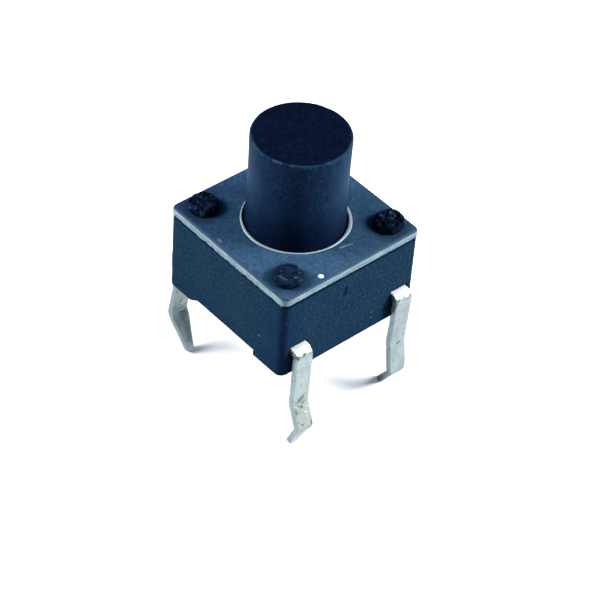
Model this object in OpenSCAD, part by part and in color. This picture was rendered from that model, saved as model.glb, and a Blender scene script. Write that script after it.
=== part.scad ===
// Through-hole tactile push switch: moulded base, stamped cover, tall round plunger, four crimped legs.
// Millimetres. The origin is the middle of the base on the board, +Z points up along the plunger, and the
// legs leave the two X faces. The front is the -Y face.

/* [Base] */
// Width of the square base and cover
body_w = 6; // [5.6:0.1:8]
// Height of the base above the board
base_h = 3.2; // [2.9:0.05:4]
// Radius of the base's upright corners
corner_r = 0.3; // [0.15:0.05:0.5]
// Wall between the round cavity and the middle of a face
cavity_wall = 0.6; // [0.5:0.05:0.75]
// Width of a corner foot beside the recess under each plain face
foot_w = 1.4; // [1.2:0.1:2]
// Height of that recess
foot_gap_h = 0.27; // [0.1:0.01:0.4]
// How far the recess reaches in under the base
foot_gap_depth = 0.9; // [0.4:0.1:2]
// Run of the sloping end of that recess
foot_gap_ramp = 0.45; // [0.1:0.05:0.6]

/* [Staked posts] */
// Diameter of a post where it passes the cover
post_d = 0.8; // [0.6:0.05:0.9]
// Distance of a post's axis from both faces at its corner
post_inset = 0.8; // [0.7:0.05:0.9]
// Diameter of the staked head
head_d = 1.1; // [1:0.05:1.3]
// Height of the staked head above the cover
head_h = 0.3; // [0.2:0.05:0.5]
// Radial gap between a post and its hole in the cover
post_clear = 0.05; // [0.02:0.01:0.07]

/* [Cover plate] */
// Thickness of the cover
cover_t = 0.3; // [0.2:0.05:0.5]
// Narrowest width of the cover, between the plunger's hole and a side
cover_land = 1.2; // [1:0.02:1.4]
// Radius of the cover's corners
cover_corner_r = 0.25; // [0.15:0.05:0.6]
// Width of the rolled upper edges around the plate
cover_edge = 0.1; // [0.04:0.02:0.16]
// Width of the raised burr around the plunger's hole
burr_w = 0.14; // [0.06:0.02:0.2]
// Height of that burr above the plate
burr_h = 0.04; // [0.02:0.01:0.1]

/* [Plunger] */
// Height of the plunger's top above the board
plunger_h = 7.1; // [4.3:0.1:13]
// How much the stem's radius narrows from its root to its top
stem_taper = 0.02; // [0.02:0.02:0.3]
// Radius of the stem's upper rim
stem_rim_r = 0.1; // [0.05:0.05:0.4]
// Thickness of the flange that holds the plunger in
flange_t = 0.7; // [0.5:0.05:0.9]
// Diameter of the nub that presses the dome
nub_d = 1.2; // [0.8:0.1:1.6]
// Travel of the plunger to full contact
travel = 0.25; // [0.15:0.05:0.35]
// Radial gap between the stem and the hole in the cover
stem_clear = 0.06; // [0.03:0.01:0.1]
// Radial gap between the flange and the cavity
flange_clear = 0.12; // [0.06:0.02:0.2]

/* [Contacts] */
// Thickness of the terminal strip
strip_t = 0.25; // [0.2:0.01:0.3]
// Width of the strip and of a leg
strip_w = 0.7; // [0.5:0.05:0.7]
// Height of the strip's upper face above the board
strip_top = 1.13; // [1:0.01:1.3]
// Distance of a leg's middle from the plain face beside it
leg_inset = 0.75; // [0.65:0.05:0.85]
// Moulded skin over the strips, under the cavity's floor
floor_skin = 0.1; // [0.06:0.02:0.2]
// Height of the dome's seats above the cavity's floor
seat_rise = 0.04; // [0.02:0.01:0.1]
// Diameter of a dome seat
seat_d = 0.6; // [0.4:0.05:0.8]
// Angle of a dome seat from the Y axis
seat_angle = 40; // [30:1:50]
// Height of the centre contact above the dome's seats
contact_lift = 0.05; // [0.02:0.01:0.1]
// Diameter of the centre contact
contact_d = 0.9; // [0.6:0.1:1.2]
// Width of the tongue that carries the centre contact
tongue_w = 0.7; // [0.5:0.1:1]
// Thickness of the snap dome
dome_t = 0.06; // [0.04:0.01:0.1]
// Gap between the dome's rim and the cavity's wall
dome_clear = 0.25; // [0.15:0.05:0.35]
// Gap between the dome's crown and the nub
nub_gap = 0.02; // [0.01:0.01:0.04]

/* [Legs] */
// Gap between a leg and the face that it leaves
leg_gap = 0.12; // [0.11:0.01:0.3]
// Depth of the leg tips below the board
leg_drop = 3.5; // [3.2:0.1:4.5]
// Width of a leg's tip
tip_w = 0.25; // [0.15:0.05:0.5]
// Depth where the crimp starts to swing out
kink_drop = 1.3; // [1.1:0.05:1.5]
// Depth of the crimp's knee, where a leg also starts to narrow
knee_drop = 2.3; // [2.1:0.05:2.6]
// Radius of the strip's middle line at its bends
bend_r = 0.2; // [0.15:0.01:0.24]
// Front left leg: lean of its shank, knee out, tip out, and the shifts down of its kink and knee
front_left_leg = [-0.12, 0.12, -0.68, -0.56, -0.28]; // [-0.8:0.01:0.5]
// Front right leg: the same five
front_right_leg = [-0.04, 0.33, -0.28, 0.08, -0.01]; // [-0.8:0.01:0.5]
// Rear left leg: the same five
rear_left_leg = [-0.05, 0.25, -0.4, 0, 0]; // [-0.8:0.01:0.5]
// Rear right leg: the same five
rear_right_leg = [-0.12, 0.07, -0.64, -0.18, 0.17]; // [-0.8:0.01:0.5]

/* [Hidden] */
$fn = 96;

// Cuts run past a face by this much
cut = 0.5;
// Straight pieces of one bend of the strip
bend_steps = 6;
// Straight pieces of the rounded edges that are turned
round_steps = 6;

half_w = body_w / 2;
cover_top = base_h + cover_t;
post_at = half_w - post_inset;
cavity_r = half_w - cavity_wall;
floor_z = strip_top + floor_skin;
seat_z = floor_z + seat_rise;
contact_z = seat_z + contact_lift;

// The stem narrows evenly from the flange up, and its root clears the hole in the cover
cover_hole_r = half_w - cover_land;
stem_r = cover_hole_r - stem_clear;
stem_top_r = stem_r - stem_taper;
flange_r = cavity_r - flange_clear;

// At full travel the dome is pressed flat on to the centre contact
dome_r = cavity_r - dome_clear;
dome_rise = travel + contact_lift;
dome_sphere_r = (dome_r * dome_r + dome_rise * dome_rise) / (2 * dome_rise);
nub_z = seat_z + dome_rise + dome_t + nub_gap;

// The dome's rim stands on its seats, a little outside their middles
seat_at = dome_r - seat_d / 6;
seat_x = seat_at * sin(seat_angle);
seat_y = seat_at * cos(seat_angle);

strip_y = half_w - leg_inset;
strip_mid_z = strip_top - strip_t / 2;
leg_x = half_w + leg_gap + strip_t / 2;

function unit(v) = v / norm(v);
function turned(v, a) = [v.x * cos(a) - v.y * sin(a), v.x * sin(a) + v.y * cos(a)];
function reversed(list) = [for (i = [len(list) - 1 : -1 : 0]) list[i]];

// Points of a round bend at corner b, on the way from a to c
function bend(a, b, c, r) =
    let (
        back = unit(a - b),
        on = unit(c - b),
        half = acos(back * on) / 2,
        middle = b + unit(back + on) * r / sin(half),
        first = b + back * r / tan(half) - middle,
        sweep = -sign(cross(back, on)) * (180 - 2 * half)
    )
    [for (i = [0 : bend_steps]) middle + turned(first, sweep * i / bend_steps)];

// Middle line of one leg in the XZ plane, from its top corner to past its tip
function leg_line(bends) =
    let (
        kink = [leg_x + bends[0], -kink_drop - bends[3]],
        knee = [leg_x + bends[1], -knee_drop - bends[4]],
        tip = [leg_x + bends[2], -leg_drop]
    )
    [[leg_x, strip_mid_z], kink, knee, tip + unit(tip - knee) * strip_t];

function mirrored(line) = [for (p = line) [-p.x, p.y]];

// Middle line of a whole terminal, from the left leg's tip to the right leg's
function terminal_line(left, right) =
    let (
        corners = concat(reversed(mirrored(leg_line(left))), leg_line(right)),
        last = len(corners) - 1
    )
    concat(
        [corners[0]],
        [for (i = [1 : last - 1]) each bend(corners[i - 1], corners[i], corners[i + 1], bend_r)],
        [corners[last]]
    );

// Outline of a strip of thickness t along a line
function strip_outline(line, t) =
    let (
        last = len(line) - 1,
        along = [for (i = [0 : last]) unit(line[min(i + 1, last)] - line[max(i - 1, 0)])],
        above = [for (i = [0 : last]) line[i] + turned(along[i], 90) * t / 2],
        below = [for (i = [0 : last]) line[i] - turned(along[i], 90) * t / 2]
    )
    concat(above, reversed(below));

// Quarter round from [r, z] at its foot to its top, turning in towards the axis
function quarter_round(r, z, edge) =
    [for (i = [0 : round_steps]) [r - edge, z] + turned([edge, 0], 90 * i / round_steps)];

module rounded_square(w, r) {
    square([w, w - 2 * r], center = true);
    square([w - 2 * r, w], center = true);
    for (x = [-1, 1], y = [-1, 1])
        translate([x * (w / 2 - r), y * (w / 2 - r)])
            circle(r);
}

module at_posts() {
    for (x = [-1, 1], y = [-1, 1])
        translate([x * post_at, y * post_at, 0])
            children();
}

// Dome seats on one side of the middle, +1 for the rear and -1 for the front
module at_seats(side) {
    for (x = [-1, 1])
        translate([x * seat_x, side * seat_y, 0])
            children();
}

// A profile in the XZ plane, drawn out along Y to both sides of y
module along_y(y, length) {
    translate([0, y + length / 2, 0])
        rotate([90, 0, 0])
            linear_extrude(length)
                children();
}

// A bent strip with a pair of legs, centred on y
module leg_strip(y, left, right) {
    taper_top = strip_top + cut;
    reach = 2 * leg_x;
    intersection() {
        along_y(y, strip_w)
            polygon(strip_outline(terminal_line(left, right), strip_t));
        translate([-reach, y, 0])
            rotate([90, 0, 90])
                linear_extrude(2 * reach)
                    polygon([
                        [-strip_w / 2, taper_top],
                        [strip_w / 2, taper_top],
                        [strip_w / 2, -knee_drop],
                        [tip_w / 2, -leg_drop],
                        [-tip_w / 2, -leg_drop],
                        [-strip_w / 2, -knee_drop]
                    ]);
    }
}

// A flat blank of strip stock between two corners
module blank(low, high) {
    translate([low.x, low.y, strip_top - strip_t])
        cube([high.x - low.x, high.y - low.y, strip_t]);
}

module front_terminal_shape() {
    leg_strip(-strip_y, front_left_leg, front_right_leg);
    blank([-tongue_w / 2, -strip_y], [tongue_w / 2, 0]);
    translate([0, 0, strip_top - strip_t])
        cylinder(d = contact_d, h = contact_z - strip_top + strip_t);
}

module rear_terminal_shape() {
    leg_strip(strip_y, rear_left_leg, rear_right_leg);
    at_seats(1) {
        translate([0, 0, strip_top - strip_t])
            cylinder(d = seat_d, h = seat_z - strip_top + strip_t);
        blank([-seat_d / 2, 0], [seat_d / 2, strip_y - seat_y]);
    }
}

// A post through the cover, with its end pressed out into a low domed head
module staked_post() {
    head_r = head_d / 2;
    edge = head_h / 2;
    translate([0, 0, base_h - cut])
        cylinder(d = post_d, h = cover_t + cut);
    translate([0, 0, cover_top])
        rotate_extrude()
            polygon(concat([[0, 0], [head_r, 0]], quarter_round(head_r, edge, edge), [[0, head_h]]));
}

// A shallow cut under a plain face, with one end sloping and the other upright
module foot_recess() {
    end = half_w - foot_w;
    slope = foot_gap_ramp / 2;
    along_y(-half_w, 2 * foot_gap_depth)
        polygon([[-end - slope, 0], [-end + slope, foot_gap_h], [end, foot_gap_h], [end, 0]]);
}

module base() {
    color([0.13, 0.24, 0.34])
        difference() {
            union() {
                difference() {
                    linear_extrude(base_h)
                        rounded_square(body_w, corner_r);
                    translate([0, 0, floor_z])
                        cylinder(r = cavity_r, h = base_h);
                }
                at_posts()
                    staked_post();
                at_seats(-1)
                    translate([0, 0, floor_z - floor_skin / 2])
                        cylinder(d = seat_d, h = seat_z - floor_z + floor_skin / 2);
            }
            for (side = [0, 180])
                rotate([0, 0, side])
                    foot_recess();
            front_terminal_shape();
            rear_terminal_shape();
        }
}

module front_terminal() {
    color([0.78, 0.8, 0.8])
        front_terminal_shape();
}

module rear_terminal() {
    color([0.78, 0.8, 0.8])
        rear_terminal_shape();
}

module contact_dome() {
    color([0.75, 0.75, 0.72])
        intersection() {
            translate([0, 0, seat_z + dome_rise - dome_sphere_r])
                difference() {
                    sphere(r = dome_sphere_r + dome_t);
                    sphere(r = dome_sphere_r);
                }
            translate([0, 0, seat_z])
                cylinder(r = dome_r, h = dome_rise + 2 * dome_t);
        }
}

module plunger() {
    color([0.05, 0.1, 0.2])
        rotate_extrude()
            polygon(concat(
                [[0, nub_z], [nub_d / 2, nub_z], [nub_d / 2, base_h - flange_t]],
                [[flange_r, base_h - flange_t], [flange_r, base_h], [stem_r, base_h]],
                quarter_round(stem_top_r, plunger_h - stem_rim_r, stem_rim_r),
                [[0, plunger_h]]
            ));
}

// Section of the plate with its upper edges rolled off
module cover_section() {
    polygon([
        [-half_w, 0],
        [half_w, 0],
        [half_w, cover_t - cover_edge],
        [half_w - cover_edge, cover_t],
        [-half_w + cover_edge, cover_t],
        [-half_w, cover_t - cover_edge]
    ]);
}

// Half of an upright oval, standing on the plate beside its hole
module burr_section() {
    half = burr_w / 2;
    arc = [for (i = [0 : 2 * round_steps]) 90 * i / round_steps];
    polygon(concat(
        [[cover_hole_r, 0]],
        [for (a = reversed(arc)) [cover_hole_r + half + half * cos(a), cover_t + burr_h * sin(a)]],
        [[cover_hole_r + burr_w, 0]]
    ));
}

module cover_plate() {
    color([0.25, 0.37, 0.47])
        translate([0, 0, base_h])
            difference() {
                union() {
                    intersection() {
                        linear_extrude(cover_t)
                            rounded_square(body_w, cover_corner_r);
                        along_y(0, body_w)
                            cover_section();
                        rotate([0, 0, 90])
                            along_y(0, body_w)
                                cover_section();
                    }
                    rotate_extrude()
                        burr_section();
                }
                translate([0, 0, -cut])
                    cylinder(r = cover_hole_r, h = cover_t + 2 * cut);
                at_posts()
                    translate([0, 0, -cut])
                        cylinder(r = post_d / 2 + post_clear, h = cover_t + 2 * cut);
            }
}

base();
front_terminal();
rear_terminal();
contact_dome();
plunger();
cover_plate();
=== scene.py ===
import math

import bmesh
import bpy
from mathutils import Matrix, Vector, noise


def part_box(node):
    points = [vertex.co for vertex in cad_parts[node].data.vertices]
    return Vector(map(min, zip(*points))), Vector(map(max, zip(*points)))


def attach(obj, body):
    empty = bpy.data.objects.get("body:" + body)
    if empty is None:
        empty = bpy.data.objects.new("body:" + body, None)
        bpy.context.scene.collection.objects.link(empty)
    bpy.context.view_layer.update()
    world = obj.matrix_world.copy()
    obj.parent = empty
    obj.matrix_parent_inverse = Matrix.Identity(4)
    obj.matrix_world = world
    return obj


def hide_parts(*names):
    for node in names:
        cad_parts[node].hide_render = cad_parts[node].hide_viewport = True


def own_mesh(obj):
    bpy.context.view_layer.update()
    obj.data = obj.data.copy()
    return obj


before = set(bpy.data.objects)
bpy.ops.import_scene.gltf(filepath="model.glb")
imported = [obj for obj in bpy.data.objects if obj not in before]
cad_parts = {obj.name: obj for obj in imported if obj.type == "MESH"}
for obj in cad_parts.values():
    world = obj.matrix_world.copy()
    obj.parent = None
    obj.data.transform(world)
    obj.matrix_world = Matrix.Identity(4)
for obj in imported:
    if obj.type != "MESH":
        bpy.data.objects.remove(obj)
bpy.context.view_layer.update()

# Terminals: two strips stamped from tin-plated brass, each bent down at both ends into a leg with a snap
# crimp and sheared off at its tip. They lie in the mould before the base is shot round them.
MM = 0.001


def corners_of(node):
    """Lowest and highest corner of a node of the frame, in millimetres."""
    low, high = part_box(node)
    return low / MM, high / MM


def skin(name, points, faces):
    """A closed mesh piece in millimetres, with its faces turned outwards."""
    mesh = bpy.data.meshes.new(name)
    mesh.from_pydata(points, [], faces)
    shape = bmesh.new()
    shape.from_mesh(mesh)
    bmesh.ops.recalc_face_normals(shape, faces=shape.faces)
    shape.to_mesh(mesh)
    shape.free()
    piece = bpy.data.objects.new(name, mesh)
    bpy.context.scene.collection.objects.link(piece)
    return piece


def loft(name, rings, endless=False):
    """A skin over rings of points: an endless one closes on its first ring, and others are capped."""
    count = len(rings[0])
    faces = []
    for i in range(len(rings) if endless else len(rings) - 1):
        here = i * count
        there = (i + 1) % len(rings) * count
        for k in range(count):
            on = (k + 1) % count
            faces.append((here + k, here + on, there + on, there + k))
    if not endless:
        faces.append(tuple(range(count)))
        faces.append(tuple(range((len(rings) - 1) * count, len(rings) * count)))
    return skin(name, [point for ring in rings for point in ring], faces)


def circle(radius, z, steps, middle=(0, 0)):
    angles = [2 * math.pi * k / steps for k in range(steps)]
    return [(middle[0] + radius * math.cos(a), middle[1] + radius * math.sin(a), z) for a in angles]


def block(low, high):
    """A plain block between two corners, for cutting with or adding on."""
    (x0, y0, z0), (x1, y1, z1) = low, high
    return loft("block", [[(x0, y0, z), (x1, y0, z), (x1, y1, z), (x0, y1, z)] for z in (z0, z1)])


def disc(radius, low, high, middle=(0, 0), steps=64):
    return loft("disc", [circle(radius, z, steps, middle) for z in (low, high)])


def settle(piece):
    """Makes a piece's modifiers part of its mesh."""
    shaped = piece.evaluated_get(bpy.context.evaluated_depsgraph_get())
    piece.data = bpy.data.meshes.new_from_object(shaped)
    piece.modifiers.clear()


def combine(piece, operation, tools):
    """Cuts the tools out of a piece, or fuses them to it."""
    for tool in tools:
        step = piece.modifiers.new(operation, "BOOLEAN")
        step.operation = operation
        step.solver = "EXACT"
        step.object = tool
    settle(piece)
    for tool in tools:
        bpy.data.objects.remove(tool)


def fit(piece, node, body, finish):
    """Brings a piece from millimetres into the frame, smooths it, and hands it its finish and its body."""
    piece.data.transform(Matrix.Scale(MM, 4))
    piece.data.shade_smooth()
    piece.data.set_sharp_from_angle(angle=math.radians(40))
    piece.modifiers.new("flat_faces", "WEIGHTED_NORMAL").keep_sharp = True
    piece.data.materials.clear()
    piece.data.materials.append(finish)
    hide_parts(node)
    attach(piece, body)


class Tone:
    """One output of a material's nodes, so that masks and shades are written as sums."""

    def __init__(self, tree, socket=None):
        self.tree = tree
        self.socket = socket

    def add(self, kind, settings=None, sockets=None, output=0):
        """A new node with its settings and the values or links of its sockets, as one of its outputs."""
        node = self.tree.nodes.new("ShaderNode" + kind)
        for name, value in (settings or {}).items():
            setattr(node, name, value)
        for key, value in (sockets or {}).items():
            if isinstance(value, Tone):
                self.tree.links.new(value.socket, node.inputs[key])
            else:
                node.inputs[key].default_value = value
        return Tone(self.tree, node.outputs[output] if node.outputs else None)

    def math(self, operation, left, right=0.0):
        return self.add("Math", {"operation": operation}, {0: left, 1: right})

    def __add__(self, other):
        return self.math("ADD", self, other)

    __radd__ = __add__

    def __sub__(self, other):
        return self.math("SUBTRACT", self, other)

    def __rsub__(self, other):
        return self.math("SUBTRACT", other, self)

    def __mul__(self, other):
        return self.math("MULTIPLY", self, other)

    __rmul__ = __mul__

    def __or__(self, other):
        """The greater of two masks."""
        return self.math("MAXIMUM", self, other)

    def vector(self, operation, other=(0, 0, 0), output="Vector"):
        return self.add("VectorMath", {"operation": operation}, {0: self, 1: other}, output)

    def axis(self, name):
        """One coordinate of a place or a direction."""
        return self.add("SeparateXYZ", None, {0: self}, name)

    def step(self, low, high):
        """0 up to low and 1 from high on, with a soft step between them; low may be the greater."""
        ends = {"Value": self, "From Min": low, "From Max": high}
        return self.add("MapRange", {"interpolation_type": "SMOOTHSTEP"}, ends)

    def mix(self, plain, marked):
        """The plain colour where this mask is 0, and the marked one where it is 1."""
        return self.add("Mix", {"data_type": "RGBA"}, {0: self, 6: plain, 7: marked}, 2)

    def noise(self, scale, detail=3.0, rough=0.55):
        sizes = {"Vector": self, "Scale": scale, "Detail": detail, "Roughness": rough}
        return self.add("TexNoise", None, sizes)

    def stroke(self, start, end, width):
        """Mask of a mark of some width along a straight line between two places."""
        line = Vector(end) - Vector(start)
        offset = self.vector("SUBTRACT", start)
        share = offset.vector("DOT_PRODUCT", line / line.length_squared, "Value").step(0, 1)
        foot = self.add("VectorMath", {"operation": "SCALE"}, {0: line, 3: share})
        return offset.vector("DISTANCE", foot, "Value").step(width / 2, width / 6)


def start_finish(name):
    """A new material, and its surface places in millimetres."""
    finish = bpy.data.materials.new(name)
    finish.use_nodes = True
    finish.node_tree.nodes.clear()
    ink = Tone(finish.node_tree)
    place = ink.add("TexCoord", None, None, "Object")
    return finish, ink, place.vector("MULTIPLY", (1 / MM, 1 / MM, 1 / MM))


def end_finish(ink, relief, depth, sockets):
    """The surface shader, with a relief of some depth in millimetres."""
    normal = ink.add("Bump", None, {"Strength": 1.0, "Distance": depth * MM, "Height": relief})
    surface = ink.add("BsdfPrincipled", None, {"Normal": normal, **sockets})
    ink.add("OutputMaterial", None, {"Surface": surface})


def colour(red, green, blue, light=4.3):
    """A shader colour that shows as these 0 to 255 screen values on a surface under so much light."""
    shares = [c / 255 for c in (red, green, blue)]
    shown = [s / 12.92 if s <= 0.04045 else ((s + 0.055) / 1.055) ** 2.4 for s in shares]
    return (*[s / light for s in shown], 1)


front_low, front_high = corners_of("front_terminal")
rear_low, rear_high = corners_of("rear_terminal")
strip_t = 0.25
strip_w = 0.7
strip_top = 1.13
strip_mid = strip_top - strip_t / 2
strip_y = rear_high.y - strip_w / 2
leg_x = 3.245
leg_end = front_low.z
kink_z = -1.3
knee_z = -2.3
tip_w = 0.25
bend_r = 0.2
contact_r = 0.45
tongue_w = 0.7
seat_x = 1.318
seat_y = 1.57
seat_r = 0.3
seat_top = 1.27
# Each leg's lean of the shank, knee out, tip out, and the shifts down of its kink and knee
legs = {
    "front_left": (-0.12, 0.12, -0.68, -0.56, -0.28),
    "front_right": (-0.04, 0.33, -0.28, 0.08, -0.01),
    "rear_left": (-0.05, 0.25, -0.4, 0, 0),
    "rear_right": (-0.12, 0.07, -0.64, -0.18, 0.17),
}
# Rolled edges of the strip, how unevenly they are sheared, how the strip sways, and how close these waves are
edge_roll = 0.035
shear_wander = 0.02
shear_waves = 2.5
sway = 0.012
sway_waves = 0.6 * shear_waves
sway_seed = Vector((7, 3, 1))
# A sheared end: how far each ring stands back from it, and its share of the strip's section
sheared_end = ((0.03, 1.0), (0.009, 0.96), (0.0, 0.86))


def leg_corners(lean, knee_out, tip_out, kink_shift, knee_shift):
    """Corners of a right-hand leg's middle line in X and Z, down to its square-sheared end."""
    kink = Vector((leg_x + lean, kink_z - kink_shift))
    knee = Vector((leg_x + knee_out, knee_z - knee_shift))
    tip = Vector((leg_x + tip_out, leg_end))
    run = (tip - knee).normalized()
    lift = abs(run.x / run.y) * strip_t / 2
    return [Vector((leg_x, strip_mid)), kink, knee, tip - run * lift]


def bent_line(corners, radius, bend_steps=12, stride=0.08):
    """Close points along a line with round bends, each with its direction."""
    line = [corners[0]]
    for before, corner, after in zip(corners, corners[1:], corners[2:]):
        back = (before - corner).normalized()
        on = (after - corner).normalized()
        half = back.angle(on) / 2
        middle = corner + (back + on).normalized() * (radius / math.sin(half))
        first = corner + back * (radius / math.tan(half)) - middle
        sweep = math.copysign(math.pi - 2 * half, back.y * on.x - back.x * on.y)
        for i in range(bend_steps + 1):
            line.append(middle + Matrix.Rotation(sweep * i / bend_steps, 2) @ first)
    line.append(corners[-1])
    close = []
    for here, there in zip(line, line[1:]):
        count = max(1, round((there - here).length / stride))
        close += [here.lerp(there, i / count) for i in range(count)]
    close.append(line[-1])
    aims = [close[min(i + 1, len(close) - 1)] - close[max(i - 1, 0)] for i in range(len(close))]
    return [(point, aim.normalized()) for point, aim in zip(close, aims)]


def strip_section(width, thickness, radius, steps=4):
    """Outline across the strip: pairs of offsets along its thickness and its width, with rolled corners."""
    section = []
    for quarter, (across, wide) in enumerate(((1, 1), (-1, 1), (-1, -1), (1, -1))):
        for i in range(steps + 1):
            a = math.pi / 2 * (quarter + i / steps)
            section.append((
                across * (thickness / 2 - radius) + radius * math.cos(a),
                wide * (width / 2 - radius) + radius * math.sin(a),
            ))
    return section


def strip_ring(point, aim, y, share=1.0):
    """The strip's outline at one place of its run, narrower towards a tip and a little uneven."""
    taper = max(0, min(1, (knee_z - point.y) / (knee_z - leg_end)))
    place = Vector((point.x, y, point.y))
    width = strip_w + (tip_w - strip_w) * taper + shear_wander * noise.noise(place * shear_waves)
    middle = y + sway * noise.noise(place * sway_waves + sway_seed)
    side = Vector((-aim.y, aim.x)) * share
    return [
        (point.x + side.x * u, middle + v * share, point.y + side.y * u)
        for u, v in strip_section(width, strip_t, edge_roll)
    ]


def leg_strip(name, y, left, right):
    """A whole strip, from the tip of its left leg over the flat to the tip of its right one."""
    mirrored = [Vector((-p.x, p.y)) for p in reversed(leg_corners(*left))]
    stations = bent_line(mirrored + leg_corners(*right), bend_r)
    rings = [strip_ring(point, aim, y) for point, aim in stations[1:-1]]
    for setback, share in sheared_end:
        (first, first_aim), (last, last_aim) = stations[0], stations[-1]
        rings.insert(0, strip_ring(first + first_aim * setback, first_aim, y, share))
        rings.append(strip_ring(last - last_aim * setback, last_aim, y, share))
    return loft(name, rings)


front_terminal = leg_strip("front_strip", -strip_y, legs["front_left"], legs["front_right"])
combine(front_terminal, "UNION", [
    block((-tongue_w / 2, -strip_y, strip_top - strip_t), (tongue_w / 2, 0, strip_top)),
    disc(contact_r, strip_top - strip_t, front_high.z),
])
rear_terminal = leg_strip("rear_strip", strip_y, legs["rear_left"], legs["rear_right"])
for side in (-1, 1):
    combine(rear_terminal, "UNION", [
        block(
            (side * seat_x - seat_r, seat_y, strip_top - strip_t),
            (side * seat_x + seat_r, strip_y, strip_top),
        ),
        disc(seat_r, strip_top - strip_t, seat_top, (side * seat_x, seat_y)),
    ])

tin_plate, ink, place = start_finish("smudged_tin_plate")
height = place.axis("Z")
facing = ink.math("ABSOLUTE", ink.add("NewGeometry", None, None, "Normal").axis("Y"))
sheared = facing.step(0.55, 0.9)
# Bare tin mirrors the pale sheet and the dim room, so it shows less of the light than a dull surface
mirrored_light = 1.9
tin = place.noise(1.8, 4).step(0.35, 0.7).mix(
    colour(190, 206, 209, mirrored_light),
    colour(172, 188, 181, mirrored_light),
)
tin = (sheared * 0.7).mix(tin, colour(148, 168, 184, mirrored_light))
smudge = place.noise(4.5, 4, 0.65).step(0.5, 0.72)
tin = (smudge * 0.7).mix(tin, colour(140, 158, 148, mirrored_light))
# Flux has left a greenish film with dark specks round the front right knee
film = place.stroke((3.45, -2.25, -1.5), (3.65, -2.25, -2.3), 1.4)
tin = (film * 0.5).mix(tin, colour(164, 172, 158, mirrored_light))
speckle = (place.noise(8.0, 3, 0.6) + 0.05 * film).step(0.64, 0.72)
tin = (speckle * 0.7).mix(tin, colour(78, 90, 82, mirrored_light))
# Painted highlight: the flat top of each bend is painted near white; painted shade: a dark broken band lies
# on the bend under it
tab_top_highlight = height.step(strip_top - 0.07, strip_top - 0.02)
bend_shade = height.step(strip_top - 0.31, strip_top - 0.21) * height.step(strip_top - 0.04, strip_top - 0.1)
bend_shade = bend_shade * place.noise(5.0, 3).step(0.44, 0.56)
tin = (bend_shade * 0.8).mix(tin, colour(62, 68, 60, mirrored_light))
tin = tab_top_highlight.mix(tin, colour(246, 246, 243, 3.4))
# The rear right tip is painted darker, and the front left leg is painted darker below its knee as painted
# shade; dark dabs of flux lie about the legs: start, end and width of each
dark_tip_and_shade = place.stroke((2.95, 2.25, -3.05), (2.6, 2.25, -3.5), 0.8)
dark_tip_and_shade = dark_tip_and_shade | 0.8 * place.stroke((-3.2, -2.15, -2.25), (-2.75, -2.15, -3.1), 0.55)
tin = (dark_tip_and_shade * 0.8).mix(tin, colour(84, 94, 98, mirrored_light))
dabs = (
    ((3.22, -2.53, 1.06), (3.36, -2.5, 0.88), 0.1),
    ((3.33, -2.19, -1.06), (3.33, -2.33, -1.18), 0.24),
    ((3.4, -2.27, -1.46), (3.4, -2.24, -1.5), 0.17),
    ((3.45, -2.53, -1.48), (3.47, -2.5, -1.62), 0.18),
    ((3.65, -2.0, -2.1), (3.68, -2.0, -2.22), 0.11),
    ((3.65, -2.39, -2.07), (3.65, -2.36, -2.11), 0.12),
    ((3.26, 2.22, -1.22), (3.26, 2.32, -1.2), 0.12),
    ((3.2, 1.96, -1.28), (3.2, 1.99, -1.34), 0.12),
    ((-3.12, -2.28, -1.32), (-3.12, -2.34, -1.46), 0.13),
    ((-3.22, -2.3, -2.05), (-3.2, -2.05, -2.1), 0.1),
)
for start, end, width in dabs:
    tin = (place.stroke(start, end, width) * 0.75).mix(tin, colour(78, 90, 80, mirrored_light))
grain = place.vector("MULTIPLY", (6, 40, 6)).noise(1.0, 2)
end_finish(ink, grain + 2 * smudge, 0.004, {
    "Base Color": tin,
    "Metallic": 0.85 - 0.75 * tab_top_highlight,
    "Roughness": 0.3 + 0.22 * smudge + 0.1 * grain,
})
fit(front_terminal, "front_terminal", "housing", tin_plate)
fit(rear_terminal, "rear_terminal", "housing", tin_plate)

# Base: a dark glass-filled nylon moulding, shot round the two strips. Its four posts pass up through the
# cover, and their ends are pressed out hot into low rough heads that hold the switch together.
base_high = corners_of("base")[1]
cover_low, cover_high = corners_of("cover_plate")
half_w = base_high.x
base_top = cover_low.z
corner_r = 0.3
cavity_r = 2.4
cavity_floor = 1.23
cavity_steps = 128
lower_edge = 0.05
upper_edge = 0.1
foot_end = 1.6
foot_ramp = 0.225
foot_gap_h = 0.27
foot_gap_depth = 0.9
slot_clear = 0.06
moulded_edge = 0.03
past = 0.5
post_at = 2.2
post_r = 0.4
cover_face = 3.5
head_r = 0.53
head_top = base_high.z
head_steps = 72
head_roll = 0.14
# A head's foot, as shares of its radius and its height, and the rings across its top, as shares of its radius
head_foot = ((0.93, 0.0), (0.97, 0.1), (1.0, 0.25))
head_rings = (0.68, 0.62, 0.56, 0.5, 0.44, 0.38, 0.32, 0.24, 0.16, 0.08)
# Waves that crumple a head's top and swell its side: how close they are and how high
crumple_waves = ((3.4, 0.06), (8, 0.06), (15, 0.03))
crumple_sink = 0.02
swell_waves = ((1.4, 0.05), (4, 0.03))
# Each post's side in X and in Y, the seed of its head's waves, and how far the head is pressed off centre
post_heads = (
    (-1, -1, (3.1, 0.4, 0), (-0.07, 0.05)),
    (1, -1, (8.7, 2.2, 0), (0, 0)),
    (1, 1, (5.3, 9.1, 0), (-0.02, 0.13)),
    (-1, 1, (1.9, 6.6, 0), (0.03, 0.02)),
)


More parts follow.
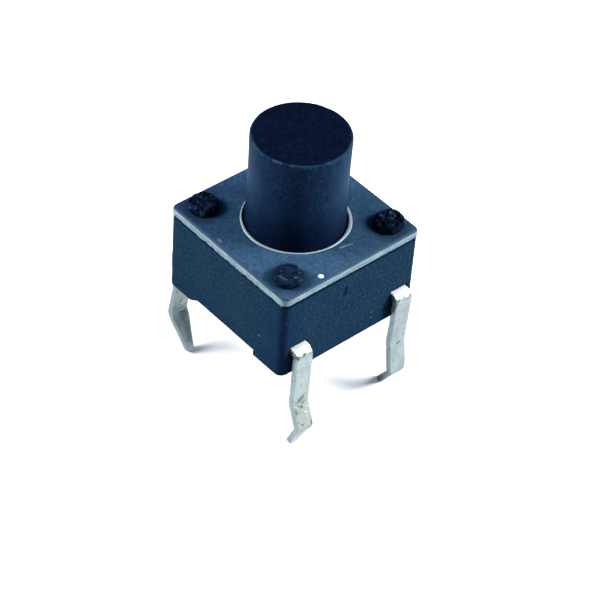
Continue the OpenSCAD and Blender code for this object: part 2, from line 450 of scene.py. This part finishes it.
def rounded_square(half, radius, z, corner_steps=12, side_steps=1):
    """Points round a square with rounded corners, each straight side in some steps."""
    ring = []
    for quarter in range(4):
        turn = Matrix.Rotation(math.pi / 2 * quarter, 2)
        middle = Vector((half - radius, half - radius))
        for i in range(corner_steps + 1):
            a = math.pi / 2 * i / corner_steps
            point = turn @ (middle + radius * Vector((math.cos(a), math.sin(a))))
            ring.append((point.x, point.y, z))
        for i in range(1, side_steps):
            side = turn @ Vector((middle.x - 2 * middle.x * i / side_steps, half))
            ring.append((side.x, side.y, z))
    return ring


def quarter_steps(steps):
    """Cosine and sine along a quarter turn."""
    angles = [math.pi / 2 * i / steps for i in range(steps + 1)]
    return [(math.cos(a), math.sin(a)) for a in angles]


def foot_recess(turn):
    """The shallow cut under a plain face, with one end sloping and the other upright."""
    outline = [
        (-foot_end - 3 * foot_ramp, -foot_gap_h),
        (-foot_end + foot_ramp, foot_gap_h),
        (foot_end, foot_gap_h),
        (foot_end, -foot_gap_h),
    ]
    rings = []
    for y in (-half_w - foot_gap_depth, -half_w + foot_gap_depth):
        rings.append([(turn * x, turn * y, z) for x, z in outline])
    return loft("recess", rings)


def waves(spot, seed, sizes):
    """Height at a spot of random waves of several sizes."""
    return sum(high * noise.noise(spot * close + seed) for close, high in sizes)


def staked_post(x, y, seed, drift):
    """A post with its pressed-out head: a short drum with a rolled rim and a rough, crumpled top."""
    head_h = head_top - cover_face
    profile = [(post_r, base_top - past), (post_r, cover_face)]
    profile += [(head_r * wide, cover_face + head_h * high) for wide, high in head_foot]
    for c, s in quarter_steps(8):
        profile.append((head_r - head_roll * (1 - c), head_top - head_roll * (1 - s)))
    profile += [(head_r * share, head_top) for share in head_rings]
    rings = []
    for r, z in profile:
        above = max(0, min(1, (z - cover_face) / head_h))
        ring = []
        for k in range(head_steps):
            a = 2 * math.pi * k / head_steps
            spoke = Vector((math.cos(a), math.sin(a), 0))
            spot = r * spoke + Vector((0, 0, z))
            swell = 1 + above * waves(spoke, seed, swell_waves)
            lift = min(0, waves(spot, seed, crumple_waves) - crumple_sink) * max(0, 2 * above - 1)
            ring.append((
                x + drift.x * above + spot.x * swell,
                y + drift.y * above + spot.y * swell,
                z + lift,
            ))
        rings.append(ring)
    return loft("post", rings)


shell = []
for c, s in quarter_steps(5):
    inset = lower_edge * (1 - s)
    shell.append(rounded_square(half_w - inset, corner_r - inset, lower_edge * (1 - c)))
for c, s in quarter_steps(6):
    inset = upper_edge * (1 - c)
    shell.append(rounded_square(half_w - inset, corner_r - inset, base_top - upper_edge * (1 - s)))
base = loft("base_moulding", shell)
slot_w = strip_w / 2 + slot_clear
strip_low = strip_top - strip_t
tools = [
    disc(cavity_r, cavity_floor, base_top + past, steps=cavity_steps),
    foot_recess(1),
    foot_recess(-1),
    block((-tongue_w / 2, -strip_y, strip_low), (tongue_w / 2, 0, cavity_floor)),
    disc(contact_r, strip_low, cavity_floor + past),
]
for y in (-strip_y, strip_y):
    tools.append(block(
        (-half_w - past, y - slot_w, strip_low - slot_clear),
        (half_w + past, y + slot_w, strip_top + slot_clear),
    ))
for side in (-1, 1):
    tools.append(block(
        (side * seat_x - seat_r, seat_y, strip_low),
        (side * seat_x + seat_r, strip_y, cavity_floor),
    ))
    tools.append(disc(seat_r, strip_low, cavity_floor + past, (side * seat_x, seat_y)))
combine(base, "DIFFERENCE", tools)
bevel = base.modifiers.new("edges", "BEVEL")
bevel.width = moulded_edge
bevel.segments = 2
bevel.limit_method = "ANGLE"
bevel.angle_limit = math.radians(50)
settle(base)
posts = [
    staked_post(x * post_at, y * post_at, Vector(seed), Vector(drift)) for x, y, seed, drift in post_heads
]
seats = [disc(seat_r, strip_top, seat_top, (side * seat_x, -seat_y)) for side in (-1, 1)]
combine(base, "UNION", posts + seats)

nylon, ink, place = start_finish("dark_moulded_nylon")
height = place.axis("Z")
cloud = place.noise(0.9, 3)
mottle = place.noise(9.0, 4, 0.7)
hue = place.vector("ADD", (11, 5, 3)).noise(3.5, 4)
body = cloud.step(0.3, 0.7).mix(colour(23, 55, 79), colour(28, 62, 86))
body = (hue.step(0.52, 0.68) * 0.8).mix(body, colour(35, 54, 94))
body = (hue.step(0.48, 0.32) * 0.8).mix(body, colour(16, 66, 84))
body = (mottle.step(0.48, 0.28) * 0.9).mix(body, colour(14, 36, 60))
body = (mottle.step(0.5, 0.7) * 0.9).mix(body, colour(52, 88, 112))
# Pale specks and one dark nick in the faces
speck = 0.7 * place.stroke((1.83, -half_w, 1.13), (1.86, -half_w, 1.12), 0.09)
for y, z in ((1.05, 0.75), (1.04, 0.49)):
    speck = speck | 0.5 * place.stroke((half_w, y, z), (half_w, y + 0.03, z - 0.02), 0.08)
body = (speck * 0.6).mix(body, colour(170, 198, 208))
nick = place.stroke((half_w, -0.26, 2.64), (half_w, -0.32, 2.36), 0.2)
body = (nick * 0.95).mix(body, colour(8, 24, 46))
# Painted shade: the front corner is painted a deeper blue. The faces are also painted darker towards the
# bottom
corner = height.add("CombineXYZ", None, {0: half_w, 1: -half_w, 2: height})
from_corner = place.vector("DISTANCE", corner, "Value")
body = (from_corner.step(1.3, 0.2) * 0.45).mix(body, colour(8, 44, 88))
body = (height.step(1.3, 0.0) * 0.35).mix(body, colour(14, 44, 74))
head = height.step(cover_face - 0.05, cover_face)
scorch_and_glints = place.noise(6.0, 3).step(0.4, 0.65).mix(colour(2, 8, 28), colour(16, 36, 62))
# Painted light: the front head is painted a little paler than the others, and gets more of the painted glints
front_head_lit = (place.axis("X") - place.axis("Y")).step(2.5, 3.5)
scorch_and_glints = (front_head_lit * 0.18).mix(scorch_and_glints, colour(30, 62, 90))
# Painted glints: small pale specks over the heads
painted_glints = (place.vector("ADD", (2, 7, 5)).noise(5.0, 3) + 0.02 * front_head_lit).step(0.57, 0.69)
scorch_and_glints = (painted_glints * 0.6).mix(scorch_and_glints, colour(86, 114, 136))
body = head.mix(body, scorch_and_glints)
# Painted shade: a dark line along the top of the faces, under the cover
shade_line = height.step(base_top - 0.13, base_top - 0.07) * height.step(base_top + 0.05, base_top)
body = (shade_line * 0.9).mix(body, colour(2, 22, 46))
texture = place.noise(22.0, 2)
end_finish(ink, texture + 0.8 * mottle, 0.008, {
    "Base Color": body,
    "Roughness": 0.6 + 0.1 * mottle,
    "Specular IOR Level": 0.01,
})
fit(base, "base", "housing", nylon)

# Contact dome: a thin disc of spring steel, pressed into a shallow dome and laid loose on its seats. It
# snaps down on to the centre contact under the plunger, and lifts the plunger back.
dome_low, dome_high = corners_of("contact_dome")
dome_r = dome_high.x
dome_t = 0.06
dome_rise = dome_high.z - dome_low.z - dome_t
ball_r = (dome_r ** 2 + dome_rise ** 2) / (2 * dome_rise)
dome_steps = 96
dome_radii = [dome_r * k / 12 for k in range(1, 13)]


def dome_ring(radius, offset):
    drop = ball_r - math.sqrt(ball_r ** 2 - radius ** 2)
    return circle(radius, dome_low.z + dome_rise + offset - drop, dome_steps)


dome_rings = [dome_ring(r, 0) for r in dome_radii] + [dome_ring(r, dome_t) for r in reversed(dome_radii)]
dome = loft("snap_dome", dome_rings)
spring_steel, ink, place = start_finish("bright_spring_steel")
streaks = place.vector("MULTIPLY", (1, 14, 1)).noise(3.0, 3)
end_finish(ink, streaks, 0.002, {
    "Base Color": streaks.mix(colour(176, 178, 174, mirrored_light), colour(206, 207, 202, mirrored_light)),
    "Metallic": 1.0,
    "Roughness": 0.22 + 0.15 * streaks,
})
fit(dome, "contact_dome", "housing", spring_steel)
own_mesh(dome)

# Plunger: a turned-looking button moulded in near-black nylon, with a flange that the cover holds down and
# a nub under it that presses the dome. Its top rim is worn and nicked by handling, and carries painted
# highlights.
plunger_low, plunger_high = corners_of("plunger")
centre_r = 0.05
nub_r = 0.6
flange_r = plunger_high.x
flange_low = 2.5
flange_edge = 0.05
stem_r = 1.69
stem_top_r = 1.71
stem_root_r = 1.74
stem_rings = 26
rim_r = 0.08
rim_low = plunger_high.z - rim_r
top_r = stem_top_r - rim_r
top_dish = 0.012
top_rings = 15
plunger_steps = 192
# Wear of the rim: how far down it reaches, how deep it is, and how close its waves are
wear_reach = 3 * rim_r
wear_depth = 0.005
wear_waves = 4
# Dents in the rim: angle and spread in degrees, and depth
dents = ((205, 9, 0.01), (246, 5, 0.02), (290, 7, 0.02), (309, 4, 0.015), (0, 12, 0.01), (110, 8, 0.015))

profile = [
    (centre_r, plunger_low.z),
    (nub_r - flange_edge, plunger_low.z),
    (nub_r, plunger_low.z + flange_edge),
    (nub_r, flange_low),
    (flange_r - flange_edge, flange_low),
    (flange_r, flange_low + flange_edge),
    (flange_r, base_top - flange_edge),
    (flange_r - flange_edge, base_top),
]
for i in range(stem_rings + 1):
    share = i / stem_rings
    flare = (stem_root_r - stem_r) * (1 - share) ** 3 + (stem_top_r - stem_r) * share ** 3
    profile.append((stem_r + flare, base_top + (rim_low - base_top) * share))
profile += [(stem_top_r - rim_r * (1 - c), rim_low + rim_r * s) for c, s in quarter_steps(8)[1:]]
for i in range(1, top_rings):
    share = 1 - i / top_rings
    profile.append((top_r * share, plunger_high.z - top_dish * (1 - share ** 2)))


def rim_wear(angle, z):
    """How far handling has worn the rim back at an angle, in millimetres."""
    near = max(0, 1 - abs(z - plunger_high.z) / wear_reach)
    spot = Vector((math.cos(angle) * wear_waves, math.sin(angle) * wear_waves, z))
    worn = wear_depth * (1 + noise.noise(spot))
    for at, spread, depth in dents:
        off = (math.degrees(angle) - at + 180) % 360 - 180
        worn += depth * math.exp(-(off / spread) ** 2)
    return worn * near


rings = []
for r, z in profile:
    ring = []
    for k in range(plunger_steps):
        a = 2 * math.pi * k / plunger_steps
        worn = rim_wear(a, z) if r > top_r - rim_r else 0
        ring.append(((r - worn) * math.cos(a), (r - worn) * math.sin(a), z))
    rings.append(ring)
plunger = loft("push_button", rings)

black_nylon, ink, place = start_finish("near_black_nylon")
height = place.axis("Z")
radius = place.vector("MULTIPLY", (1, 1, 0)).vector("LENGTH", output="Value")
cloud = place.noise(1.3, 3)
streaks = place.vector("MULTIPLY", (5, 5, 0.7)).noise(1.2, 3)
mottle = place.noise(7.0, 4, 0.6)
button = cloud.step(0.3, 0.7).mix(colour(14, 42, 74), colour(19, 52, 82))
button = (streaks.step(0.45, 0.75) * 0.5).mix(button, colour(24, 62, 88))
button = (mottle.step(0.5, 0.7) * 0.8).mix(button, colour(36, 62, 104))
button = (mottle.step(0.48, 0.28) * 0.8).mix(button, colour(5, 28, 56))
stem_end = plunger_high.z
# Painted shade: the stem is painted darker towards the plate
root_shade = height.step(stem_end - 1.3, base_top + 0.5)
button = (root_shade * 0.75).mix(button, colour(4, 16, 44))
# Painted sheen: the two sides of the stem are painted a little paler, as the softboxes' grazing light
sheen_side = (0.69, 0.72, 0)
flank_sheen = ink.math("ABSOLUTE", place.vector("DOT_PRODUCT", sheen_side, "Value")).step(0.9, 1.75)
flank_sheen = flank_sheen * height.step(base_top + 0.4, stem_end - 1.5) * height.step(stem_end + 0.5, stem_end - 1.7)
button = (flank_sheen * 0.4).mix(button, colour(62, 96, 124))
# Painted shade: the top face is painted much darker than the stem
shaded_crown = radius.step(top_r + 0.04, top_r - 0.02) * height.step(stem_end - 0.08, stem_end - 0.04)
top = mottle.step(0.4, 0.7).mix(colour(1, 8, 28), colour(7, 16, 40))
button = (shaded_crown * 0.95).mix(button, top)
# The rim is painted paler in patches, partly wear and partly painted highlight
rim = radius.step(top_r - 0.04, top_r + 0.04) * height.step(stem_end - 0.2, stem_end - 0.06)
rub_and_highlight = rim * place.noise(2.6, 4, 0.65).step(0.42, 0.72) * 0.25
# Pale marks in the rim and one below it, partly nicked places and partly painted highlights: start, end,
# width and strength of each
nicks_and_highlights = (
    ((0.47, -1.6, stem_end - 0.03), (0.72, -1.5, stem_end - 0.03), 0.12, 0.6),
    ((1.02, -1.34, stem_end - 0.03), (1.08, -1.29, stem_end - 0.03), 0.09, 0.5),
    ((-0.74, -1.46, stem_end - 0.05), (-0.66, -1.5, stem_end - 0.06), 0.1, 0.6),
    ((1.56, -0.68, stem_end - 0.45), (1.62, -0.48, stem_end - 0.46), 0.05, 0.5),
)
for start, end, width, strength in nicks_and_highlights:
    rub_and_highlight = rub_and_highlight | strength * place.stroke(start, end, width)
button = (rub_and_highlight * 0.5).mix(button, colour(96, 132, 158))
fine = place.noise(26.0, 2)
end_finish(ink, fine + streaks, 0.006, {
    "Base Color": button,
    "Roughness": 0.5 + 0.12 * fine,
    "Specular IOR Level": 0.015,
})
fit(plunger, "plunger", "plunger", black_nylon)

# Cover: a plate stamped from dull-plated steel, pierced for the plunger and the four posts. Its edge is
# rolled down by the punch and a burr stands up round the hole; its front and right edges and the burr are
# painted pale, partly unplated metal and partly painted reflection.
cover_corner_r = 0.25
hole_r = 1.79
hole_at = Vector((0.03, -0.03))
hole_low_edge = 0.02
hole_top_edge = 0.03
burr_w = 0.14
burr_h = cover_high.z - cover_face
# The burr's width in shares of burr_w: even all round, wandering, and at its bulges. A bulge has an angle in
# degrees, a narrowness and a share
burr_even = 0.42
burr_wander = 0.12
burr_bulges = ((46, 3, 0.6), (-95, 6, 0.4))
roll_w = 0.14
roll_h = 0.13
roll_corner = 0.8
# The sheared edge under the roll: inset and height over the base of each ring, and how far its lip is torn
shear_rings = ((0.0, 0.06), (0.004, 0.015), (0.02, 0))
lip_h = 0.1
lip_waves = ((2.2, 0.9), (7, 0.54))
under_inset = 0.05
# The flat is not quite even: how close its waves are, how high, and how far it sinks
flat_waves = 0.9
flat_rise = 0.006
flat_sink = 0.004
post_hole_r = 0.45
side_steps = 48
flat_steps = 18
burr_steps = 12
under_steps = 6
dot_at = Vector((2.75, -1.25, 0))
dot_r = 0.11
dot_h = 0.03


def plate_outline(inset, z):
    return rounded_square(half_w - inset, cover_corner_r - roll_corner * inset, z, 12, side_steps)


def burr_width(angle):
    """The burr is widest to the right, where the punch ran out of line, and wide at the front left too."""
    share = burr_even + burr_wander * noise.noise(Vector((math.cos(angle), math.sin(angle), 0.3)) * 3)
    for at, narrow, wide in burr_bulges:
        share += wide * max(0, math.cos(angle - math.radians(at))) ** narrow
    return burr_w * share


def burr_height(angle):
    """The burr stands up unevenly round the hole."""
    return burr_h * (0.75 + 0.25 * noise.noise(Vector((math.cos(angle), math.sin(angle), 5)) * 2.1))


def round_hole(radius, angle, z):
    return (hole_at.x + radius * math.cos(angle), hole_at.y + radius * math.sin(angle), z)


def torn_lip(point):
    """How far the punch has dragged the plate's lower margin down at a point of its front edge."""
    along = max(0, min(1, (point[0] + half_w) / half_w)) if point[1] < 0.02 - half_w else 0
    ragged = waves(Vector(point), Vector(), lip_waves)
    return lip_h * along * max(0, min(1, 0.6 + ragged))


def plate_point(edge, share):
    """A point of the plate on the way from the burr's foot to the rolled edge."""
    at = Vector((edge[0], edge[1]))
    angle = math.atan2(at.y, at.x)
    inner = Vector(round_hole(hole_r + burr_width(angle), angle, 0)).xy
    spot = inner.lerp(at, share)
    bow = math.sin(math.pi * share)
    wave = flat_rise * noise.noise(Vector((spot.x, spot.y, 0)) * flat_waves) - flat_sink
    return (spot.x, spot.y, cover_face + min(0, wave) * bow)


edge_ring = plate_outline(roll_w, cover_face)
angles = [math.atan2(p[1], p[0]) for p in edge_ring]
rings = []
for z in (base_top, base_top + hole_low_edge, cover_face - hole_top_edge, cover_face):
    rings.append([round_hole(hole_r, a, z) for a in angles])
for i in range(1, burr_steps):
    bow = math.pi * i / burr_steps
    ring = []
    for a in angles:
        r = hole_r + burr_width(a) * (1 - math.cos(bow)) / 2
        ring.append(round_hole(r, a, cover_face + burr_height(a) * math.sin(bow)))
    rings.append(ring)
for i in range(flat_steps):
    rings.append([plate_point(p, i / flat_steps) for p in edge_ring])
for c, s in reversed(quarter_steps(7)):
    rings.append(plate_outline(roll_w * (1 - c), cover_face - roll_h * (1 - s)))
for inset, rise in shear_rings:
    rings.append([(x, y, z - torn_lip((x, y, z))) for x, y, z in plate_outline(inset, base_top + rise)])
low_ring = plate_outline(under_inset, base_top)
rings.append(low_ring)
for i in range(1, under_steps):
    ring = []
    for p, a in zip(low_ring, angles):
        ring.append(tuple(Vector(p).lerp(Vector(round_hole(hole_r, a, base_top)), i / under_steps)))
    rings.append(ring)
cover = loft("cover_plate_steel", rings, endless=True)
combine(cover, "DIFFERENCE", [
    disc(post_hole_r, base_top - past, cover_face + past, (x * post_at, y * post_at))
    for x in (-1, 1) for y in (-1, 1)
])
drop = loft("drop", [
    circle(dot_r * c, cover_face + dot_h * (s - 0.3), 32, dot_at) for c, s in quarter_steps(6)[:-1]
])
combine(cover, "UNION", [drop])

plated, ink, place = start_finish("dull_plated_steel")
height = place.axis("Z")
flat = place.vector("MULTIPLY", (1, 1, 0))
radius = flat.vector("DISTANCE", (*hole_at, 0), "Value")
cloud = place.noise(0.8, 3)
mottle = place.noise(9.0, 4, 0.7)
hue = place.vector("ADD", (4, 9, 2)).noise(3.5, 4)
# Painted light: the plate is painted paler from left to right
painted_light_gradient = flat.axis("X").step(-1.2 * half_w, 1.2 * half_w)
plate = (cloud.step(0.3, 0.7) * 0.3 + 0.7 * painted_light_gradient).mix(colour(44, 77, 120), colour(63, 98, 124))
plate = (hue.step(0.52, 0.68) * 0.6).mix(plate, colour(46, 74, 116))
plate = (hue.step(0.48, 0.32) * 0.5).mix(plate, colour(34, 84, 106))
plate = (mottle.step(0.48, 0.28) * 0.7).mix(plate, colour(20, 50, 82))
plate = (mottle.step(0.5, 0.7) * 0.8).mix(plate, colour(72, 112, 138))
# Painted shade: a dark halo round each head
from_post = flat.vector("ABSOLUTE").vector("DISTANCE", (post_at, post_at, 0), "Value")
plate = (from_post.step(0.95, 0.5) * 0.6).mix(plate, colour(20, 38, 72))
# Pale scuffs right of the hole and at the front edge
scuff = place.stroke((2.09, 0.2, cover_face), (2.11, 0.37, cover_face), 0.12)
scuff = scuff | place.stroke((2.11, 0.37, cover_face), (2.18, 0.62, cover_face), 0.09)
scuff = scuff | 0.5 * place.stroke((-0.66, -2.8, cover_face), (-0.52, -2.8, cover_face), 0.14)
plate = (scuff * 0.7).mix(plate, colour(150, 182, 190))
past_corner = flat.vector("ABSOLUTE").vector("SUBTRACT", [half_w - cover_corner_r] * 2 + [0])
margin = past_corner.vector("MAXIMUM").vector("LENGTH", output="Value")
rolled = margin.step(cover_corner_r - 0.13, cover_corner_r - 0.07)
pale_band_high = cover_face - 0.055
pale_band_low = cover_face - 0.085
sheared = rolled * height.step(pale_band_high, pale_band_low)
# Only the front and right edges are painted pale below a darker band, partly unplated metal and partly
# painted reflection, and the punch has torn their lower margin, which is painted dark
front_right_edges = (flat.axis("X") | (0.0 - flat.axis("Y"))).step(half_w - 0.25, half_w - 0.1)
burr = height.step(cover_face + 0.002, cover_face + 0.012) * radius.step(hole_r + 0.61, hole_r + 0.41)
burr = burr | radius.step(hole_r + 0.04, hole_r + 0.02)
pale_and_reflecting = sheared * front_right_edges | burr
# Painted shade: the rolled edges at the back and left are painted dark
plate = (rolled * (0.8 - 0.8 * front_right_edges)).mix(plate, colour(16, 34, 54))
# Painted shade: the upper part of the front and right rolls is painted darker
shoulder_shade = rolled * front_right_edges * height.step(pale_band_low, pale_band_high)
plate = (shoulder_shade * 0.6).mix(plate, colour(24, 54, 78))
# Pale tone of the front and right edges and the burr, partly unplated metal and partly painted reflection
drawn = place.vector("MULTIPLY", (1.6, 1.6, 16)).noise(1.0, 4, 0.6)
bare_and_reflection = drawn.step(0.35, 0.68).mix(colour(140, 176, 192), colour(192, 218, 226))
bare_and_reflection = (hue.step(0.5, 0.65) * 0.4).mix(bare_and_reflection, colour(128, 148, 186))
bare_and_reflection = (burr * 0.7).mix(bare_and_reflection, colour(190, 210, 214))
torn = (height + 0.3 * place.noise(6.0, 4, 0.6)).step(base_top + 0.17, base_top + 0.12)
bare_and_reflection = (torn * 0.9).mix(bare_and_reflection, colour(18, 40, 64))
plate = pale_and_reflecting.mix(plate, bare_and_reflection)
# A small raised dot, coloured white, with a dark line round it
dot = flat.vector("DISTANCE", dot_at, "Value")
plate = (dot.step(dot_r + 0.09, dot_r + 0.04) * 0.6).mix(plate, colour(20, 48, 80))
dot_white = dot.step(dot_r + 0.01, dot_r - 0.02)
plate = dot_white.mix(plate, colour(228, 238, 240))
end_finish(ink, mottle + 0.5 * place.noise(20.0, 2), 0.004, {
    "Base Color": plate,
    "Metallic": 0.2 + 0.2 * pale_and_reflecting - 0.2 * dot_white - 0.2 * shoulder_shade,
    "Roughness": 0.5 + 0.1 * mottle,
    "Specular IOR Level": 0.05,
})
fit(cover, "cover_plate", "housing", plated)

# Stage: a plain pale sheet under the legs, a dim room and a large softbox at each side of the camera,
# which looks down on the switch's near corner.
floor_reach = 400.0
floor_z = min(front_low.z, rear_low.z)
floor = block((-floor_reach, -floor_reach, floor_z - 1), (floor_reach, floor_reach, floor_z))
floor.name = "floor"
floor.data.transform(Matrix.Scale(MM, 4))
paper, ink, place = start_finish("pale_paper")
end_finish(ink, place.noise(0.5, 2), 0.0005, {
    "Base Color": (0.36, 0.36, 0.36, 1),
    "Roughness": 0.9,
    "Specular IOR Level": 0.0,
})
floor.data.materials.append(paper)

view_azimuth = math.radians(46.253)
view_elevation = math.radians(43.134)
view_roll = math.radians(4.559)
view_distance = 78.16
view_lens = 135.77
view_aim = Vector((0.556, -0.011, 0.077))
back = Vector((
    math.sin(view_azimuth) * math.cos(view_elevation),
    -math.cos(view_azimuth) * math.cos(view_elevation),
    math.sin(view_elevation),
))
level = Vector((math.cos(view_azimuth), math.sin(view_azimuth), 0))
upright = back.cross(level)
right = level * math.cos(view_roll) + upright * math.sin(view_roll)
up = back.cross(right)
camera_data = bpy.data.cameras.new("camera")
camera_data.sensor_width = 36
camera_data.lens = view_lens
camera_data.clip_start = 0.005
camera_data.clip_end = 10
camera = bpy.data.objects.new("camera", camera_data)
bpy.context.scene.collection.objects.link(camera)
camera.matrix_world = Matrix((
    (right.x, up.x, back.x, 0),
    (right.y, up.y, back.y, 0),
    (right.z, up.z, back.z, 0),
    (0, 0, 0, 1),
))
camera.location = (view_aim + back * view_distance) * MM
bpy.context.scene.camera = camera

softbox_out = 90
softbox_up = Vector((0, 0, 58))
softbox_size = 45


def softbox(name, offset, power):
    """A square light, offset from the switch in millimetres and turned to it."""
    data = bpy.data.lights.new(name, "AREA")
    data.size = softbox_size * MM
    data.energy = power
    light = bpy.data.objects.new(name, data)
    bpy.context.scene.collection.objects.link(light)
    light.location = offset * MM
    light.rotation_mode = "QUATERNION"
    light.rotation_quaternion = (-offset).to_track_quat("-Z", "Y")
    light.visible_camera = False


softbox("left_softbox", softbox_up - level * softbox_out, 0.54)
softbox("right_softbox", softbox_up + level * softbox_out, 0.64)

world = bpy.data.worlds.new("dim_room")
world.use_nodes = True
room = Tone(world.node_tree)
world.node_tree.nodes.clear()
low_wall = (0.07, 0.16, 0.3, 1)
ceiling = (0.25, 0.45, 0.75, 1)
pale_backdrop = (0.95, 0.96, 0.97, 1)
rise = room.add("TexCoord", None, None, "Generated").axis("Z").step(0.0, 1.0)
shade = rise.mix(low_wall, ceiling)
seen = room.add("LightPath", None, None, "Is Camera Ray")
air = room.add("Background", None, {"Color": seen.mix(shade, pale_backdrop)})
room.add("OutputWorld", None, {"Surface": air})
bpy.context.scene.world = world
bpy.context.scene.view_settings.view_transform = "Standard"
